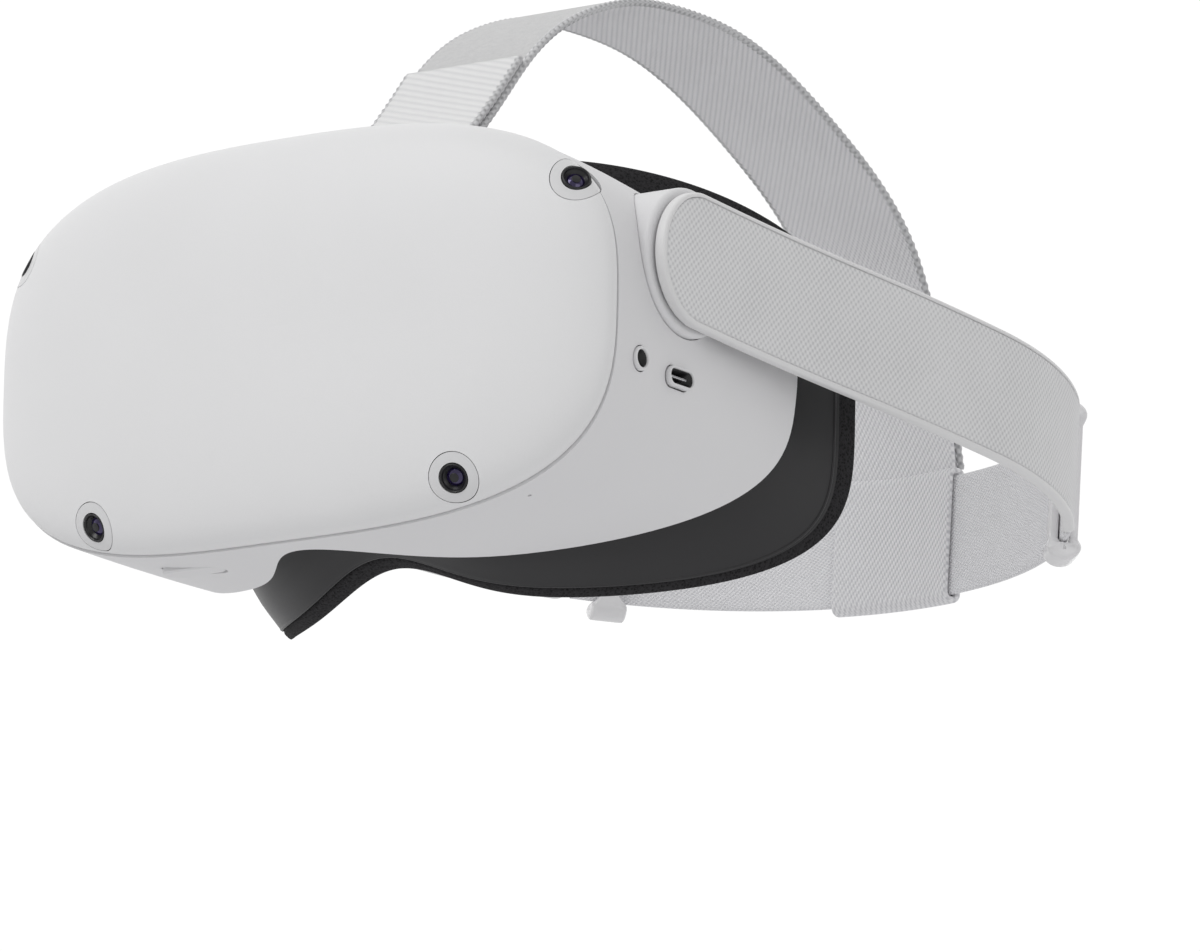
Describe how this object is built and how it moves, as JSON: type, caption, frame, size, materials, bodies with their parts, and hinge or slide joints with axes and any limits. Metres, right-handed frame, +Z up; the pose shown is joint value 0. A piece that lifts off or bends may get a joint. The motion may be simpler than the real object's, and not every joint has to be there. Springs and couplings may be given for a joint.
{
  "type": "vr headset",
  "caption": "Standalone white headset with domed visor, dark foam face pad, sliding lenses, and a pivoting head strap with woven arms, rear band and top strap.",
  "frame": {"origin": "middle of the footprint, on the surface the headset stands on", "axes": "+X towards the wearer's left, +Y from the visor to the back of the head, +Z up"},
  "size_m": [0.2024, 0.2855, 0.1705],
  "materials": {
    "white_shell": "fine moulded grain, satin white",
    "white_bezel": "smooth satin white",
    "camera_glass": "gloss black with coated glass",
    "black_plastic": "satin black",
    "foam": "open-cell black foam",
    "lens_clear": "clear moulded lens",
    "metal_frame": "die-cast magnesium alloy, dull",
    "steel": "plated steel",
    "circuit_board": "green solder mask",
    "cell": "wrapped cell",
    "light": "frosted light guide",
    "arm_plastic": "smooth off-white soft plastic",
    "arm_weave": "fine light-grey basket weave",
    "band_webbing": "elastic off-white webbing",
    "crown_felt": "off-white webbing inside, light-grey loop felt outside",
    "white_gloss": "off-white gloss"
  },
  "bodies": {
    "headset": {"front_visor": "white_shell", "rear_housing": "white_shell", "inner_frame": "metal_frame", "mainboard": "circuit_board", "battery": "cell", "cooling_fan": "black_plastic", "heat_sink": "metal_frame", "display_panel": "black_plastic", "lens_rail": "steel", "rail_bracket_left": "black_plastic", "rail_bracket_right": "black_plastic", "lens_plate": "black_plastic", "proximity_sensor": "black_plastic", "audio_jack_socket": "steel", "usb_c_socket": "steel", "status_light": "light", "interface_frame": "black_plastic", "face_foam": "foam", "pivot_boss_left": "white_shell", "pivot_boss_right": "white_shell", "pivot_shaft_left": "steel", "pivot_shaft_right": "steel", "camera_bezel_low_left": "white_bezel", "camera_bezel_low_right": "white_bezel", "camera_bezel_high_left": "white_bezel", "camera_bezel_high_right": "white_bezel", "camera_module_low_left": "camera_glass", "camera_module_low_right": "camera_glass", "camera_module_high_left": "camera_glass", "camera_module_high_right": "camera_glass"},
    "head_strap": {"strap_arm_left": "arm_plastic", "strap_arm_right": "arm_plastic", "arm_fabric_left": "arm_weave", "arm_fabric_right": "arm_weave", "arm_speaker_left": "black_plastic", "arm_speaker_right": "black_plastic", "rear_band": "band_webbing", "strap_loop": "band_webbing", "top_strap": "crown_felt", "strap_flap": "band_webbing"},
    "slider_left": {"band_slider_left": "white_gloss"},
    "slider_right": {"band_slider_right": "white_gloss"},
    "lens_carriage_left": {"lens_barrel_left": "black_plastic", "lens_left": "lens_clear"},
    "lens_carriage_right": {"lens_barrel_right": "black_plastic", "lens_right": "lens_clear"},
    "power_key": {"power_button": "white_shell"},
    "volume_key": {"volume_rocker": "white_shell"}
  },
  "joints": [
    {"name": "strap_pivot", "type": "hinge", "parent": "headset", "child": "head_strap", "pos_m": [0, -0.09225, 0.07199], "axis": [1, 0, 0], "range_deg": [-20, 25], "deforming": ["top_strap", "strap_flap"]},
    {"name": "slider_left_travel", "type": "hinge", "parent": "head_strap", "child": "slider_left", "pos_m": [0, 0.04118, 0.06313], "axis": [0, 0.0663, 0.9978], "range_deg": [-2, 20]},
    {"name": "slider_right_travel", "type": "hinge", "parent": "head_strap", "child": "slider_right", "pos_m": [0, 0.04118, 0.06313], "axis": [0, 0.0663, 0.9978], "range_deg": [-20, 2]},
    {"name": "lens_left_slide", "type": "slide", "parent": "headset", "child": "lens_carriage_left", "axis": [1, 0, 0], "range_m": [-0.0025, 0.0025]},
    {"name": "lens_right_slide", "type": "slide", "parent": "headset", "child": "lens_carriage_right", "axis": [1, 0, 0], "range_m": [-0.0025, 0.0025]},
    {"name": "power_press", "type": "slide", "parent": "headset", "child": "power_key", "axis": [1, 0, 0], "range_m": [0, 0.0006], "stiffness_N_per_m": 2500},
    {"name": "volume_rock", "type": "hinge", "parent": "headset", "child": "volume_key", "pos_m": [-0.039, -0.11275, 0.00979], "axis": [0, 1, 0], "range_deg": [-2.5, 2.5], "stiffness_Nm_per_rad": 0.4}
  ],
  "couplings": [
    {"joint": "lens_right_slide", "follows": "lens_left_slide", "ratio": -1}
  ]
}
